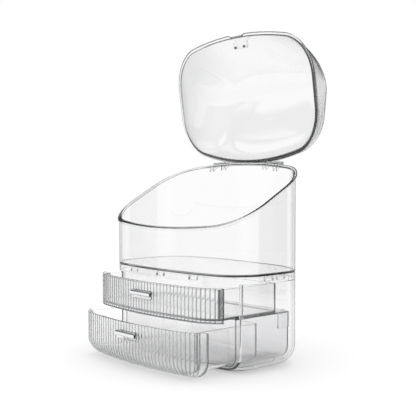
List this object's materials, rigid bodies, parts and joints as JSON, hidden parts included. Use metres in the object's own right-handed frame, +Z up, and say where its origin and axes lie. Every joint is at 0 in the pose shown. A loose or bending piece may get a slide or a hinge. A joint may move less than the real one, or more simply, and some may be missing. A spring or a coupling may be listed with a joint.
{
  "type": "makeup organizer",
  "caption": "Clear plastic makeup organizer: slanted open bin with a hinged dome lid, on a rounded housing with fluted pull-out drawers.",
  "frame": {"origin": "centre of the foot's underside, on the surface the organizer stands on", "axes": "+Z up, -Y towards the drawer fronts, +X to the right as the drawers face the viewer"},
  "size_m": [0.2744, 0.2816, 0.448],
  "materials": {
    "clear_plastic": "clear, glossy",
    "frosted_plastic": "clear grey, glossy",
    "chrome_plate": "polished",
    "steel": "satin"
  },
  "bodies": {
    "organizer": {"base_foot": "clear_plastic", "housing_shell": "clear_plastic", "joint_ring": "clear_plastic", "drawer_sleeve": "frosted_plastic", "sleeve_gussets": "frosted_plastic", "runner_rails": "frosted_plastic", "bin_shell": "clear_plastic", "snap_clips": "clear_plastic", "hinge_bracket_left": "clear_plastic", "hinge_bracket_right": "clear_plastic", "hinge_pin_left": "steel", "hinge_pin_right": "steel"},
    "lid": {"lid_dome": "clear_plastic", "lid_rim_frame": "clear_plastic", "lid_catch": "clear_plastic"},
    "upper_drawer": {"upper_drawer_box": "clear_plastic", "upper_drawer_front": "clear_plastic", "upper_handle_plate": "clear_plastic", "upper_handle_bar": "chrome_plate", "upper_handle_screws": "steel"},
    "lower_drawer": {"lower_drawer_box": "clear_plastic", "lower_drawer_front": "clear_plastic", "lower_handle_plate": "clear_plastic", "lower_handle_bar": "chrome_plate", "lower_handle_screws": "steel"}
  },
  "joints": [
    {"name": "lid_hinge", "type": "hinge", "parent": "organizer", "child": "lid", "pos_m": [0, 0.0833, 0.2646], "axis": [-1, 0, 0], "range_deg": [-110, 0]},
    {"name": "upper_drawer_slide", "type": "slide", "parent": "organizer", "child": "upper_drawer", "axis": [0, -1, 0], "range_m": [-0.0294, 0.0556]},
    {"name": "lower_drawer_slide", "type": "slide", "parent": "organizer", "child": "lower_drawer", "axis": [0, -1, 0], "range_m": [-0.054, 0.036]}
  ]
}
